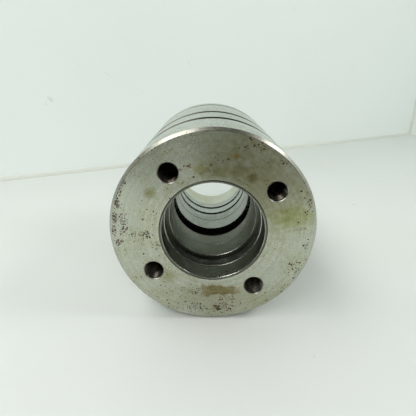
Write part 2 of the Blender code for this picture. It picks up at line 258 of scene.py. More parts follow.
def add_range(tree, value, low_in, high_in, low_out=0.0, high_out=1.0):
    """A smooth ramp from one range of a socket to another."""
    node = tree.nodes.new("ShaderNodeMapRange")
    node.interpolation_type = "SMOOTHSTEP"
    tree.links.new(value, node.inputs["Value"])
    for name, number in (("From Min", low_in), ("From Max", high_in), ("To Min", low_out), ("To Max", high_out)):
        node.inputs[name].default_value = number
    return node.outputs["Result"]


def add_noise(tree, vector, scale, detail=3.0, roughness=0.55, dimensions="3D"):
    node = tree.nodes.new("ShaderNodeTexNoise")
    node.noise_dimensions = dimensions
    node.inputs["Scale"].default_value = scale
    node.inputs["Detail"].default_value = detail
    node.inputs["Roughness"].default_value = roughness
    tree.links.new(vector, node.inputs["W" if dimensions == "1D" else "Vector"])
    return node.outputs["Fac"]


def add_mix(tree, factor, first, second, blend="MIX"):
    """Mixes two colours, each a colour or a socket, by a number or a socket."""
    node = tree.nodes.new("ShaderNodeMix")
    node.data_type = "RGBA"
    node.blend_type = blend
    for name, value in (("Factor", factor), ("A", first), ("B", second)):
        sockets = [s for s in node.inputs if s.name == name and s.enabled]
        socket = sockets[0]
        if isinstance(value, (int, float)):
            socket.default_value = value
        elif isinstance(value, tuple):
            socket.default_value = (*value, 1.0)
        else:
            tree.links.new(value, socket)
    return [s for s in node.outputs if s.enabled][0]


def new_group(name, inputs, outputs):
    """An empty node group with named sockets; returns the group, its input node and its output node."""
    group = bpy.data.node_groups.new(name, "ShaderNodeTree")
    for label, kind, value in inputs:
        socket = group.interface.new_socket(label, in_out="INPUT", socket_type="NodeSocket" + kind)
        if value is not None:
            socket.default_value = value
    for label, kind in outputs:
        group.interface.new_socket(label, in_out="OUTPUT", socket_type="NodeSocket" + kind)
    return group, group.nodes.new("NodeGroupInput"), group.nodes.new("NodeGroupOutput")


def make_lathe_marks():
    """Lines that a lathe tool leaves: rings on a face and hoops on a barrel, with a few deeper ones."""
    group, given, result = new_group(
        "lathe_marks",
        [("Lines per Metre", "Float", 1500.0), ("Wander", "Float", 0.3)],
        [("Height", "Float"), ("Tone", "Float"), ("Along", "Float"), ("Radius", "Float")],
    )
    place = group.nodes.new("ShaderNodeTexCoord")
    split = group.nodes.new("ShaderNodeSeparateXYZ")
    flat = group.nodes.new("ShaderNodeCombineXYZ")
    length = group.nodes.new("ShaderNodeVectorMath")
    length.operation = "LENGTH"
    link_all(group, [
        (place.outputs["Object"], split.inputs[0]),
        (split.outputs["X"], flat.inputs["X"]),
        (split.outputs["Z"], flat.inputs["Z"]),
        (flat.outputs[0], length.inputs[0]),
    ])
    radius = length.outputs["Value"]
    along = add_math(group, "ADD", radius, add_math(group, "MULTIPLY", split.outputs["Y"], 0.83))
    drift = add_noise(group, place.outputs["Object"], 18.0, 2.0)
    wander = add_math(group, "MULTIPLY", add_math(group, "MULTIPLY", drift, given.outputs["Wander"]), MM)
    track = add_math(group, "ADD", along, wander)
    feed = add_math(group, "MULTIPLY", track, given.outputs["Lines per Metre"])
    wave = add_math(group, "SINE", add_math(group, "MULTIPLY", feed, math.tau))
    fine = add_noise(group, add_math(group, "MULTIPLY", track, 1.0), 5200.0, 4.0, 0.7, "1D")
    broad = add_noise(group, track, 420.0, 3.0, 0.6, "1D")
    height = add_math(group, "ADD", add_math(group, "MULTIPLY", wave, 0.35), add_math(group, "MULTIPLY", fine, 0.65))
    tone = add_math(group, "ADD", add_math(group, "MULTIPLY", fine, 0.6), add_math(group, "MULTIPLY", broad, 0.4))
    tone = add_math(group, "ADD", tone, add_math(group, "MULTIPLY", wave, 0.04))
    link_all(group, [
        (height, result.inputs["Height"]),
        (tone, result.inputs["Tone"]),
        (split.outputs["Y"], result.inputs["Along"]),
        (radius, result.inputs["Radius"]),
    ])
    return group


def make_patch():
    """A soft oval patch on the surface, 1 in its middle and 0 outside, with an edge torn by Grain."""
    group, given, result = new_group(
        "stain_patch",
        [("Middle", "Vector", (0, 0, 0)), ("Size", "Vector", (0.01, 0.01, 0.01)), ("Grain", "Float", 0.5)],
        [("Mask", "Float")],
    )
    place = group.nodes.new("ShaderNodeTexCoord")
    away = group.nodes.new("ShaderNodeVectorMath")
    away.operation = "SUBTRACT"
    scaled = group.nodes.new("ShaderNodeVectorMath")
    scaled.operation = "DIVIDE"
    length = group.nodes.new("ShaderNodeVectorMath")
    length.operation = "LENGTH"
    link_all(group, [
        (place.outputs["Object"], away.inputs[0]),
        (given.outputs["Middle"], away.inputs[1]),
        (away.outputs[0], scaled.inputs[0]),
        (given.outputs["Size"], scaled.inputs[1]),
        (scaled.outputs[0], length.inputs[0]),
    ])
    torn = add_math(group, "MULTIPLY", add_math(group, "SUBTRACT", given.outputs["Grain"], 0.5), 0.9)
    reach = add_math(group, "ADD", length.outputs["Value"], torn)
    group.links.new(add_range(group, reach, 1.15, 0.1), result.inputs["Mask"])
    return group


def make_smear():
    """A dried oil smear: a ragged oblong that narrows to the right, with a darker dried rim."""
    group, given, result = new_group(
        "oil_smear",
        [("Middle", "Vector", (0, 0, 0)), ("Size", "Vector", (0.01, 1.0, 0.003)), ("Grain", "Float", 0.5)],
        [("Mask", "Float"), ("Rim", "Float")],
    )
    place = group.nodes.new("ShaderNodeTexCoord")
    away = group.nodes.new("ShaderNodeVectorMath")
    away.operation = "SUBTRACT"
    scaled = group.nodes.new("ShaderNodeVectorMath")
    scaled.operation = "DIVIDE"
    split = group.nodes.new("ShaderNodeSeparateXYZ")
    link_all(group, [
        (place.outputs["Object"], away.inputs[0]),
        (given.outputs["Middle"], away.inputs[1]),
        (away.outputs[0], scaled.inputs[0]),
        (given.outputs["Size"], scaled.inputs[1]),
        (scaled.outputs[0], split.inputs[0]),
    ])
    taper = add_math(group, "SUBTRACT", 1.0, add_math(group, "MULTIPLY", split.outputs["X"], 0.30))
    across = add_math(group, "DIVIDE", add_math(group, "ABSOLUTE", split.outputs["Z"]), taper)
    reach = add_math(group, "MAXIMUM", add_math(group, "ABSOLUTE", split.outputs["X"]), across)
    torn = add_math(group, "MULTIPLY", add_math(group, "SUBTRACT", given.outputs["Grain"], 0.5), 1.3)
    reach = add_math(group, "ADD", reach, torn)
    mask = add_range(group, reach, 1.15, 0.62)
    wiped = group.nodes.new("ShaderNodeMapping")
    wiped.inputs["Scale"].default_value = (0.18, 1.0, 1.0)
    group.links.new(place.outputs["Object"], wiped.inputs["Vector"])
    streak = add_noise(group, wiped.outputs[0], 900.0, 3.0)
    rim = add_math(group, "MAXIMUM", add_range(group, reach, 0.55, 0.95), add_range(group, streak, 0.48, 0.62, 0.0, 0.8))
    rim = add_math(group, "MULTIPLY", mask, rim)
    link_all(group, [(mask, result.inputs["Mask"]), (rim, result.inputs["Rim"])])
    return group


def make_rust():
    """Pits and specks of rust, brown to black: scattered dots, joined into clumps where Cover is high."""
    group, given, result = new_group(
        "rust_specks",
        [("Cover", "Float", 0.2), ("Speck Scale", "Float", 1000.0)],
        [("Mask", "Float"), ("Color", "Color")],
    )
    place = group.nodes.new("ShaderNodeTexCoord")
    warp = group.nodes.new("ShaderNodeTexNoise")
    warp.inputs["Scale"].default_value = 1600.0
    warp.inputs["Detail"].default_value = 2.0
    bent = group.nodes.new("ShaderNodeVectorMath")
    bent.operation = "MULTIPLY_ADD"
    bent.inputs[1].default_value = (0.7 * MM, 0.7 * MM, 0.7 * MM)
    link_all(group, [
        (place.outputs["Object"], warp.inputs["Vector"]),
        (warp.outputs["Color"], bent.inputs[0]),
        (place.outputs["Object"], bent.inputs[2]),
    ])
    mask = None
    for share in (1.0, 0.55):
        dots = group.nodes.new("ShaderNodeTexVoronoi")
        group.links.new(bent.outputs[0], dots.inputs["Vector"])
        group.links.new(add_math(group, "MULTIPLY", given.outputs["Speck Scale"], share), dots.inputs["Scale"])
        chance = group.nodes.new("ShaderNodeSeparateColor")
        group.links.new(dots.outputs["Color"], chance.inputs[0])
        wanted = add_math(group, "MULTIPLY", given.outputs["Cover"], given.outputs["Cover"])
        wanted = add_math(group, "MULTIPLY", wanted, 0.62 if share == 1.0 else 0.45)
        chosen = add_math(group, "LESS_THAN", chance.outputs[0], wanted)
        size = add_math(group, "ADD", 0.26, add_math(group, "MULTIPLY", chance.outputs[1], 0.44))
        dot = add_math(group, "MULTIPLY", add_math(group, "SUBTRACT", size, dots.outputs["Distance"]), 9.0, clamp=True)
        dot = add_math(group, "MULTIPLY", dot, chosen)
        mask = dot if mask is None else add_math(group, "MAXIMUM", mask, dot)
    hue = add_noise(group, place.outputs["Object"], 350.0, 2.0)
    colour = add_mix(group, add_range(group, hue, 0.40, 0.66), (0.030, 0.022, 0.013), (0.15, 0.090, 0.036))
    link_all(group, [(mask, result.inputs["Mask"]), (colour, result.inputs["Color"])])
    return group


lathe_marks = make_lathe_marks()
stain_patch = make_patch()
oil_smear = make_smear()
rust_specks = make_rust()


def place_group(tree, group, **values):
    """Adds a node group; each value is a number, a vector or a socket, by its name with _ for spaces."""
    node = tree.nodes.new("ShaderNodeGroup")
    node.node_tree = group
    for label, value in values.items():
        socket = node.inputs[label.replace("_", " ")]
        if isinstance(value, (int, float, tuple)):
            socket.default_value = value
        else:
            tree.links.new(value, socket)
    return node


def on_face(x, z, y=0.0):
    """A place on the front or end face, from millimetres across and up."""
    return x * MM, y, z * MM


def steel(name, colour, roughness, anisotropy=0.0, lines=1500.0, depth=0.02, tone=0.25, cover=0.1,
          rust=(), stains=(), smear=None, film=None, metallic=1.0, speck_scale=1900.0, face=0.0):
    """Machined steel: lathe marks, a film of old oil, stains (colour) and rust specks (strength) at places."""
    made = bpy.data.materials.new(name)
    made.use_nodes = True
    tree = made.node_tree
    shader = tree.nodes["Principled BSDF"]
    if anisotropy:
        shader.inputs["Anisotropic"].default_value = anisotropy
        shader.inputs["Anisotropic Rotation"].default_value = 0.25
        grain = tree.nodes.new("ShaderNodeTangent")
        grain.direction_type = "RADIAL"
        grain.axis = "Y"
        tree.links.new(grain.outputs[0], shader.inputs["Tangent"])
    marks = place_group(tree, lathe_marks, Lines_per_Metre=lines)
    place = tree.nodes.new("ShaderNodeTexCoord").outputs["Object"]
    cloud = add_noise(tree, place, 60.0, 5.0, 0.6)
    mottle = add_noise(tree, place, 900.0, 3.0, 0.6)
    tear = add_noise(tree, place, 330.0, 4.0, 0.6)
    dark = tuple(part * (1.0 - tone) for part in colour)
    light = tuple(min(1.0, part * (1.0 + tone)) for part in colour)
    grain_tone = add_math(tree, "ADD", add_math(tree, "MULTIPLY", marks.outputs["Tone"], 0.7),
                          add_math(tree, "MULTIPLY", mottle, 0.3))
    base = add_mix(tree, add_range(tree, grain_tone, 0.35, 0.65), dark, light)
    if film:
        film_colour, film_share = film
        base = add_mix(tree, add_range(tree, cloud, 0.40, 0.66, 0.0, film_share), base, film_colour, "MULTIPLY")
    rough = add_math(tree, "ADD", roughness, add_math(tree, "MULTIPLY", add_math(tree, "SUBTRACT", mottle, 0.5), 0.16))
    rough = add_math(tree, "ADD", rough, add_math(tree, "MULTIPLY", add_math(tree, "SUBTRACT", cloud, 0.5), 0.20))
    for x, z, half_x, half_z, stain_colour, strength in stains:
        patch = place_group(
            tree, stain_patch, Middle=on_face(x, z, face), Size=on_face(half_x, half_z, 1.0), Grain=tear
        )
        amount = add_math(tree, "MULTIPLY", patch.outputs["Mask"], strength)
        base = add_mix(tree, amount, base, stain_colour, "MULTIPLY")
        rough = add_math(tree, "ADD", rough, add_math(tree, "MULTIPLY", amount, 0.10))
    if smear:
        x, z, half_x, half_z, smear_colour, rim_colour = smear
        patch = place_group(
            tree, oil_smear, Middle=on_face(x, z, face), Size=on_face(half_x, half_z, 1.0), Grain=tear
        )
        base = add_mix(tree, patch.outputs["Mask"], base, smear_colour, "MULTIPLY")
        base = add_mix(tree, patch.outputs["Rim"], base, rim_colour, "MULTIPLY")
    amount = add_range(tree, cloud, 0.40, 0.80, 0.0, cover)
    for x, z, half_x, half_z, strength in rust:
        patch = place_group(
            tree, stain_patch, Middle=on_face(x, z, face), Size=on_face(half_x, half_z, 1.0), Grain=tear
        )
        amount = add_math(tree, "MAXIMUM", amount, add_math(tree, "MULTIPLY", patch.outputs["Mask"], strength))
    specks = place_group(tree, rust_specks, Cover=amount, Speck_Scale=speck_scale)
    base = add_mix(tree, specks.outputs["Mask"], base, specks.outputs["Color"])
    tree.links.new(base, shader.inputs["Base Color"])
    rough = add_math(tree, "ADD", rough, add_math(tree, "MULTIPLY", specks.outputs["Mask"], 0.4), clamp=True)
    tree.links.new(rough, shader.inputs["Roughness"])
    metal = add_math(tree, "SUBTRACT", metallic, add_math(tree, "MULTIPLY", specks.outputs["Mask"], 0.75 * metallic))
    tree.links.new(metal, shader.inputs["Metallic"])
    bump = tree.nodes.new("ShaderNodeBump")
    bump.inputs["Strength"].default_value = 1.0
    bump.inputs["Distance"].default_value = depth * MM
    pits = add_math(tree, "MULTIPLY", specks.outputs["Mask"], -1.5)
    tree.links.new(add_math(tree, "ADD", marks.outputs["Height"], pits), bump.inputs["Height"])
    tree.links.new(bump.outputs[0], shader.inputs["Normal"])
    return made


def lathe(name, outline, steps=ROUND_STEPS, centre=(0.0, 0.0), first_angle=0.0):
    """Turns a closed outline of (y, radius) points round an axis along Y."""
    let_go()
    x, z = centre
    across, up = math.cos(first_angle), math.sin(first_angle)
    bpy.ops.mesh.primitive_plane_add(size=1.0, location=(0.0, 0.0, 0.0))
    piece = bpy.context.object
    piece.name = name
    bpy.ops.object.mode_set(mode="EDIT")
    bpy.ops.mesh.select_all(action="SELECT")
    bpy.ops.mesh.merge(type="CENTER")
    first = Vector((x + outline[0][1] * across, outline[0][0], z + outline[0][1] * up))
    bpy.ops.transform.translate(value=first)
    here = first
    for y, radius in outline[1:]:
        there = Vector((x + radius * across, y, z + radius * up))
        bpy.ops.mesh.extrude_region_move(TRANSFORM_OT_translate={"value": there - here})
        here = there
    bpy.ops.mesh.extrude_region_move(TRANSFORM_OT_translate={"value": first - here})
    bpy.ops.mesh.select_all(action="SELECT")
    bpy.ops.mesh.remove_doubles(threshold=0.000002)
    bpy.ops.mesh.spin(steps=steps, angle=math.tau, center=(x, 0.0, z), axis=(0.0, 1.0, 0.0))
    bpy.ops.mesh.select_all(action="SELECT")
    bpy.ops.mesh.remove_doubles(threshold=0.000002)
    bpy.ops.mesh.normals_make_consistent(inside=False)
    bpy.ops.object.mode_set(mode="OBJECT")
    return piece


def smooth(piece, crisp=38.0):
    """Smooth shading with crisp corners, and flat faces that stay flat."""
    let_go()
    piece.select_set(True)
    bpy.context.view_layer.objects.active = piece
    bpy.ops.object.shade_smooth_by_angle(angle=math.radians(crisp))
    bpy.ops.object.modifier_add(type="WEIGHTED_NORMAL")
    piece.modifiers[-1].keep_sharp = True
    bpy.ops.object.modifier_apply(modifier=piece.modifiers[-1].name)


def rounded(outline, radius, arc=3):
    """The same closed outline with each marked corner rounded. A corner is (y, r) or (y, r, own radius)."""
    points = []
    count = len(outline)
    for index, corner in enumerate(outline):
        here = Vector(corner[:2])
        before = Vector(outline[index - 1][:2]) - here
        after = Vector(outline[(index + 1) % count][:2]) - here
        own = corner[2] if len(corner) > 2 else radius
        turn = before.angle(after)
        if own <= 0 or turn > math.radians(175.0):
            points.append(tuple(here))
            continue
        back = min(own / math.tan(turn / 2), before.length * 0.45, after.length * 0.45)
        fit = back * math.tan(turn / 2)
        middle = here + (before.normalized() + after.normalized()).normalized() * fit / math.sin(turn / 2)
        start = here + before.normalized() * back - middle
        end = here + after.normalized() * back - middle
        for step in range(arc + 1):
            share = step / arc
            arm = start.slerp(end, share) * start.length
            points.append(tuple(middle + arm))
    return points


def carve(piece, cutter):
    """Cuts one mesh out of another and throws the cutter away."""
    let_go()
    piece.select_set(True)
    bpy.context.view_layer.objects.active = piece
    bpy.ops.object.modifier_add(type="BOOLEAN")
    cut = piece.modifiers[-1]
    cut.operation = "DIFFERENCE"
    cut.solver = "EXACT"
    cut.object = cutter
    bpy.ops.object.modifier_apply(modifier=cut.name)
    bpy.data.objects.remove(cutter, do_unlink=True)


def thread_tap(name, centre, mouth, inward, depth, minor, pitch):
    """A tap's shape: a threaded plug with a cone point and a countersink, ready to be cut out of a face."""
    turns = int(depth / pitch)
    rows = turns * 8
    thread = 0.54 * pitch
    let_go()
    bpy.ops.mesh.primitive_grid_add(x_subdivisions=HOLE_STEPS, y_subdivisions=rows, size=1.0)
    plug = bpy.context.object
    plug.name = name
    for corner in plug.data.vertices:
        share = corner.co.x + 0.5
        down = (corner.co.y + 0.5) * depth
        swing = (down / pitch + share) % 1.0
        tooth = abs(2.0 * swing - 1.0)
        fade = min(1.0, down / pitch, (depth - down) / pitch)
        radius = minor + thread * max(0.0, min(1.0, 1.35 * tooth - 0.15)) * fade
        angle = math.tau * share
        corner.co = (
            centre[0] + radius * math.cos(angle),
            mouth + inward * down,
            centre[1] + radius * math.sin(angle),
        )
    sink = minor * 0.20
    bpy.ops.object.mode_set(mode="EDIT")
    bpy.ops.mesh.select_all(action="SELECT")
    bpy.ops.mesh.remove_doubles(threshold=0.000005)
    for end, steps in (("mouth", ((-1.0 * MM, 1.45), )), ("point", ((minor * 0.55, 0.02), ))):
        at_mouth = end == "mouth"
        bpy.ops.mesh.select_all(action="DESELECT")
        bpy.ops.object.mode_set(mode="OBJECT")
        rim = mouth if at_mouth else mouth + inward * depth
        for vertex in plug.data.vertices:
            vertex.select = abs(vertex.co.y - rim) < 0.00001
        bpy.ops.object.mode_set(mode="EDIT")
        bpy.ops.mesh.select_mode(type="VERT")
        for shift, scale in steps:
            bpy.ops.mesh.extrude_region_move(TRANSFORM_OT_translate={"value": (0.0, inward * shift, 0.0)})
            bpy.ops.transform.resize(
                value=(scale, 1.0, scale), center_override=(centre[0], rim + inward * shift, centre[1])
            )
        bpy.ops.mesh.edge_face_add()
    bpy.ops.mesh.select_all(action="SELECT")
    bpy.ops.mesh.normals_make_consistent(inside=False)
    bpy.ops.object.mode_set(mode="OBJECT")
    return plug


def sink_cone(centre, mouth, inward, radius, depth):
    """A cone that breaks the edge of a hole."""
    outline = [
        (mouth - inward * 1.0 * MM, 0.0),
        (mouth - inward * 1.0 * MM, radius + 1.0 * MM),
        (mouth + inward * depth, radius - depth),
        (mouth + inward * depth, 0.0),
    ]
    return lathe("countersink", outline, HOLE_STEPS, centre)


def on_circle(radius, degrees):
    angle = math.radians(degrees)
    return radius * math.cos(angle), radius * math.sin(angle)


edge_round = 0.25 * MM
rim_chamfer = 1.6 * MM
seat_r = 28.75 * MM
recess_r = 38.8 * MM
recess_depth = 7.5 * MM
bolt_circle_r = 39.75 * MM
bolt_angles = [35.0 + 90.0 * index for index in range(4)]
tap_minor = 5.1 * MM
tap_pitch = 1.75 * MM
tap_sink = 5.7 * MM
sink_depth = 0.6 * MM
pin_circle_r = 47.5 * MM
pin_angles = (30.0, 150.0, 270.0)
pin_r = 2.5 * MM

pin_places = [on_circle(pin_circle_r, degrees) for degrees in pin_angles]
cuff_screw_places = [on_circle(34.8 * MM, degrees + 45.0) for degrees in bolt_angles]
fit = 0.3 * MM


def drill(piece, places, start, end, radius):
    """Drills the same straight hole at each place."""
    for place in places:
        outline = [(start, 0.0), (start, radius), (end, radius), (end, 0.0)]
        carve(piece, lathe("drill", outline, HOLE_STEPS // 2, place))


flange_low, flange_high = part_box("front_flange")
face_y, flange_back, body_r = flange_low.y, flange_high.y, flange_high.z
outline = rounded(
    [
        (face_y, seat_r, 0.25 * MM),
        (face_y, body_r - rim_chamfer, 0.4 * MM),
        (face_y + rim_chamfer, body_r, 0.6 * MM),
        (flange_back, body_r, 0.6 * MM),
        (flange_back, recess_r),
        (flange_back - recess_depth, recess_r),
        (flange_back - recess_depth, seat_r),
    ],
    edge_round,
)
front_flange = lathe("front_flange_steel", outline)
for degrees in bolt_angles:
    centre = on_circle(bolt_circle_r, degrees)
    carve(front_flange, thread_tap("tap", centre, face_y, 1.0, 21.0 * MM, tap_minor, tap_pitch))
    carve(front_flange, sink_cone(centre, face_y, 1.0, tap_sink, sink_depth))
pin_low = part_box("guide_pin_1")[0].y
cuff_screw_low, cuff_screw_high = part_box("front_cuff_screw_1")
drill(front_flange, pin_places, pin_low - fit, flange_back + MM, pin_r + 0.5 * fit)
drill(front_flange, cuff_screw_places, cuff_screw_low.y - fit, flange_back, 1.8 * MM)
smooth(front_flange)

left_band = (
    (-45.4, 28, 2.2, 2.6, 1.3), (-47.8, 23, 2.0, 4.0, 1.7), (-49.6, 17, 1.9, 4.5, 1.9), (-51.4, 9, 1.9, 5.5, 2.0),
    (-52.3, 1, 1.9, 5.5, 1.9), (-50.6, -5.5, 3.0, 3.5, 1.4), (-47.5, 6, 5, 13, 0.85),
)
beside_holes = (
    (-12.5, 36, 3.6, 2.0, 1.4), (-15.5, 34, 2.4, 1.6, 1.1), (-36, -1.5, 5, 4, 1.2), (-42, -1, 4, 3, 1.0),
    (-30, -8, 4, 3, 0.85),
)
upper_specks = ((15.5, 45, 4, 3, 0.85), (23, 45, 5, 4, 0.95), (17.5, 49.5, 3, 2, 0.9), (36, 39, 6, 6, 0.75), (4, 40, 5, 4, 0.7))
right_specks = ((47, 2, 4, 3, 0.95), (50, -7, 3, 6, 0.85), (49, 17, 4, 14, 0.7), (44, -22, 7, 10, 0.75))
lower_specks = ((-10, -36.5, 5, 4, 1.1), (5, -47, 11, 5, 1.15), (-10, -47, 12, 5, 0.95), (8, -41, 9, 4, 0.85))
olive, ochre, brown = (0.70, 0.66, 0.38), (0.95, 0.70, 0.38), (0.55, 0.44, 0.28)
face_stains = (
    (10.5, 41, 3.2, 2.6, ochre, 0.8),
    (20, 29.5, 3.6, 3.0, brown, 0.8),
    (-7, 34.5, 5, 3.0, olive, 0.8),
    (6, 33, 15, 4.5, olive, 0.6),
    (-32, 22, 4, 4, olive, 0.8),
    (41.5, 9, 16, 9.0, (0.82, 0.86, 0.46), 0.75),
    # The next two broad patches make the upper and upper-right part of the face darker and yellower.
    (26, 24, 40, 34, (0.62, 0.58, 0.44), 0.9),
    (8, 44, 30, 16, (0.72, 0.70, 0.56), 0.8),
    (-24, -27, 6, 5, olive, 0.6),
    (10, -40, 40, 12, (0.86, 0.82, 0.68), 0.7),
)
face_steel = steel(
    "faced_steel", (0.50, 0.52, 0.44), 0.26, anisotropy=0.92, lines=1000.0, depth=0.008, tone=0.18,
    cover=0.60, rust=left_band + beside_holes + upper_specks + right_specks + lower_specks,
    stains=face_stains, smear=(4.2, -35.8, 10.0, 3.2, (0.60, 0.53, 0.37), (0.68, 0.60, 0.44)),
    film=((0.82, 0.80, 0.60), 0.5), face=face_y,
)
barrel_steel = steel(
    "turned_steel", (0.54, 0.57, 0.52), 0.26, anisotropy=0.6, lines=700.0, depth=0.014, tone=0.26,
    cover=0.22, film=((0.84, 0.84, 0.72), 0.5),
)
# Dark brown steel for the tapped holes and the rounding at the bore seat: painted shade in the holes and at that joint,
# with rust specks.
hole_shade_steel = steel(
    "tapped_hole_shade_steel", (0.16, 0.14, 0.115), 0.30, lines=2000.0, depth=0.004, tone=0.3, cover=0.6,
)
# Brighter steel on the rounded cut edges in the bore: a painted highlight.
highlight_edge_steel = steel("painted_highlight_edge", (0.76, 0.76, 0.69), 0.24, lines=3000.0, depth=0.002, tone=0.15)
rim_steel = steel(
    "handled_rim_steel", (0.50, 0.50, 0.45), 0.40, anisotropy=0.4, lines=1800.0, depth=0.006, tone=0.35, cover=0.55,
    film=((0.86, 0.80, 0.72), 0.7),
)


def paint(piece, materials, choose):
    """Gives a piece its materials; choose(centre, normal) says which one a face takes."""
    for material in materials:
        piece.data.materials.append(material)
    for polygon in piece.data.polygons:
        polygon.material_index = choose(polygon.center, polygon.normal)


def flange_zone(mouth_y):
    """Faces of a flange: its flat end, its chamfers, the tapped holes, and everything else that is turned."""
    def choose(centre, normal):
        for degrees in bolt_angles:
            x, z = on_circle(bolt_circle_r, degrees)
            deep = abs(centre.y - mouth_y)
            if math.hypot(centre.x - x, centre.z - z) < tap_sink * 1.01 and deep > 0.05 * MM:
                return 3 if deep < sink_depth and 0.5 < abs(normal.y) < 0.9 else 2
        if math.hypot(centre.x, centre.z) < seat_r + 0.2 * MM and abs(normal.y) < 0.95:
            return 2
        if abs(centre.y - mouth_y) < 0.1 * MM:
            return 0
        return 3 if abs(centre.y - mouth_y) < rim_chamfer + 0.1 * MM else 1
    return choose


paint(front_flange, (face_steel, barrel_steel, hole_shade_steel, rim_steel), flange_zone(face_y))
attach(front_flange, "front_end")
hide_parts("front_flange")


# ---------------------------------------------------------------- mouth sleeve
# Thin steel sleeve pressed into the mouth of the flange, flush with its face, coloured dark as painted
# shade in the front of the bore. Its rounded edge and the small lip at its far end take a brighter steel as
# a painted highlight, and a hairline shows where it meets the flange.

sleeve_r = 28.5 * MM
# Dark steel for the mouth sleeve and the front liner: painted shade in the front of the bore, under a film of old oil.
shaded_bore_steel = steel(
    "painted_shade_oiled_steel", (0.185, 0.195, 0.165), 0.30, anisotropy=0.5, lines=1800.0, depth=0.004, tone=0.18,
    cover=0.25, film=((0.78, 0.76, 0.60), 0.6),
)


def edge_zone(tilt=0.25):
    """Picks the edges that take the painted highlight: the faces that look neither along the axis nor away from it."""
    def choose(centre, normal):
        return 1 if tilt < abs(normal.y) < 1.0 - tilt * 0.15 else 0
    return choose


mouth_low, mouth_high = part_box("mouth_sleeve")
mouth_r = 27.4 * MM
lip_r = mouth_r - 0.3 * MM
mouth_sleeve = lathe("mouth_sleeve_steel", rounded(
    [
        (mouth_low.y, mouth_r, 0.40 * MM),
        (mouth_low.y, sleeve_r, 0.2 * MM),
        (mouth_high.y, sleeve_r, 0.1 * MM),
        (mouth_high.y, lip_r, 0.1 * MM),
        (mouth_high.y - 0.45 * MM, lip_r, 0.18 * MM),
        (mouth_high.y - 0.60 * MM, mouth_r, 0.05 * MM),
    ],
    0.1 * MM,
))
smooth(mouth_sleeve)
wear_and_highlight = edge_zone()
paint(
    mouth_sleeve, (shaded_bore_steel, highlight_edge_steel),
    lambda centre, normal: 0 if math.hypot(centre.x, centre.z) > sleeve_r - 0.3 * MM else wear_and_highlight(centre, normal),
)
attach(mouth_sleeve, "front_end")
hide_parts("mouth_sleeve")


# ---------------------------------------------------------------- pipe seal
# Pressed graphite packing ring with two soft lips, in the recess between the mouth sleeve and the liner.

seal_low, seal_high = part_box("pipe_seal")


def rubber(name, colour, roughness):
    """Rubber or fibre: near black, matt, with dust in its pores and fine moulding grain."""
    made = bpy.data.materials.new(name)
    made.use_nodes = True
    tree = made.node_tree
    shader = tree.nodes["Principled BSDF"]
    shader.inputs["Specular IOR Level"].default_value = 0.35
    place = tree.nodes.new("ShaderNodeTexCoord").outputs["Object"]
    grain = add_noise(tree, place, 1400.0, 4.0, 0.6)
    dust = add_noise(tree, place, 180.0, 4.0, 0.6)
    dusty = tuple(min(1.0, part * 2.6 + 0.012) for part in colour)
    tree.links.new(add_mix(tree, add_range(tree, dust, 0.45, 0.72), colour, dusty), shader.inputs["Base Color"])
    tree.links.new(add_range(tree, grain, 0.3, 0.7, roughness - 0.08, roughness + 0.12), shader.inputs["Roughness"])
    bump = tree.nodes.new("ShaderNodeBump")
    bump.inputs["Distance"].default_value = 0.02 * MM
    tree.links.new(grain, bump.inputs["Height"])
    tree.links.new(bump.outputs[0], shader.inputs["Normal"])
    return made


black_rubber = rubber("black_rubber", (0.010, 0.010, 0.009), 0.48)
graphite = rubber("graphite_packing", (0.10, 0.105, 0.09), 0.34)
graphite.node_tree.nodes["Principled BSDF"].inputs["Metallic"].default_value = 0.6
seal_r = 27.7 * MM
seal_middle = (seal_low.y + seal_high.y) / 2
pipe_seal = lathe("pipe_seal_rubber", rounded(
    [
        (seal_low.y, sleeve_r),
        (seal_high.y, sleeve_r),
        (seal_high.y, seal_r + 0.1 * MM),
        (seal_high.y - 1.0 * MM, seal_r),
        (seal_middle + 0.8 * MM, seal_r + 0.35 * MM),
        (seal_middle - 0.8 * MM, seal_r + 0.35 * MM),
        (seal_low.y + 1.0 * MM, seal_r),
        (seal_low.y, seal_r + 0.1 * MM),
    ],
    0.3 * MM,
))
smooth(pipe_seal)
pipe_seal.data.materials.append(graphite)
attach(pipe_seal, "front_end")
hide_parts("pipe_seal")


# ---------------------------------------------------------------- front liner
# Steel flow sleeve that guards the bellows, coloured dark as painted shade in the front of the bore. Its
# front edge takes a brighter steel as a painted highlight, a fine line is scribed round its bore, and a
# collar behind the flange holds it.

bore_r = 25.0 * MM
collar_r = 29.9 * MM
liner_low, liner_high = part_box("front_liner")
collar_y = flange_back - recess_depth + fit
scribe_y = liner_low.y + 14.5 * MM


def scribed(y, radius, depth=0.25 * MM):
    """A fine V line cut round a bore, as outline corners running towards the front."""
    return [(y + depth, radius, 0.0), (y, radius + depth, 0.0), (y - depth, radius, 0.0)]


front_liner = lathe("front_liner_steel", rounded(
    [
        (liner_low.y, bore_r, 0.7 * MM),
        (liner_low.y, sleeve_r),
        (collar_y, sleeve_r),
        (collar_y, collar_r),
        (collar_y + 3.0 * MM, collar_r),
        (collar_y + 3.0 * MM, sleeve_r),
        (liner_high.y, sleeve_r),
        (liner_high.y, bore_r + 0.2 * MM),
        (liner_high.y - 0.2 * MM, bore_r),
        *scribed(scribe_y, bore_r),
    ],
    0.08 * MM,
))
smooth(front_liner)
paint(front_liner, (shaded_bore_steel, highlight_edge_steel), edge_zone())
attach(front_liner, "front_end")
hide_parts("front_liner")


# ---------------------------------------------------------------- cuff rings and their screws
# A flat steel ring at each end clamps the cuff of the bellows over a liner collar. Four small socket
# head screws, blackened, hold each ring in its recess.

black_screw_steel = steel(
    "black_oxide_steel", (0.045, 0.043, 0.040), 0.38, lines=3000.0, depth=0.002, tone=0.35, cover=0.3,
    metallic=0.85,
)


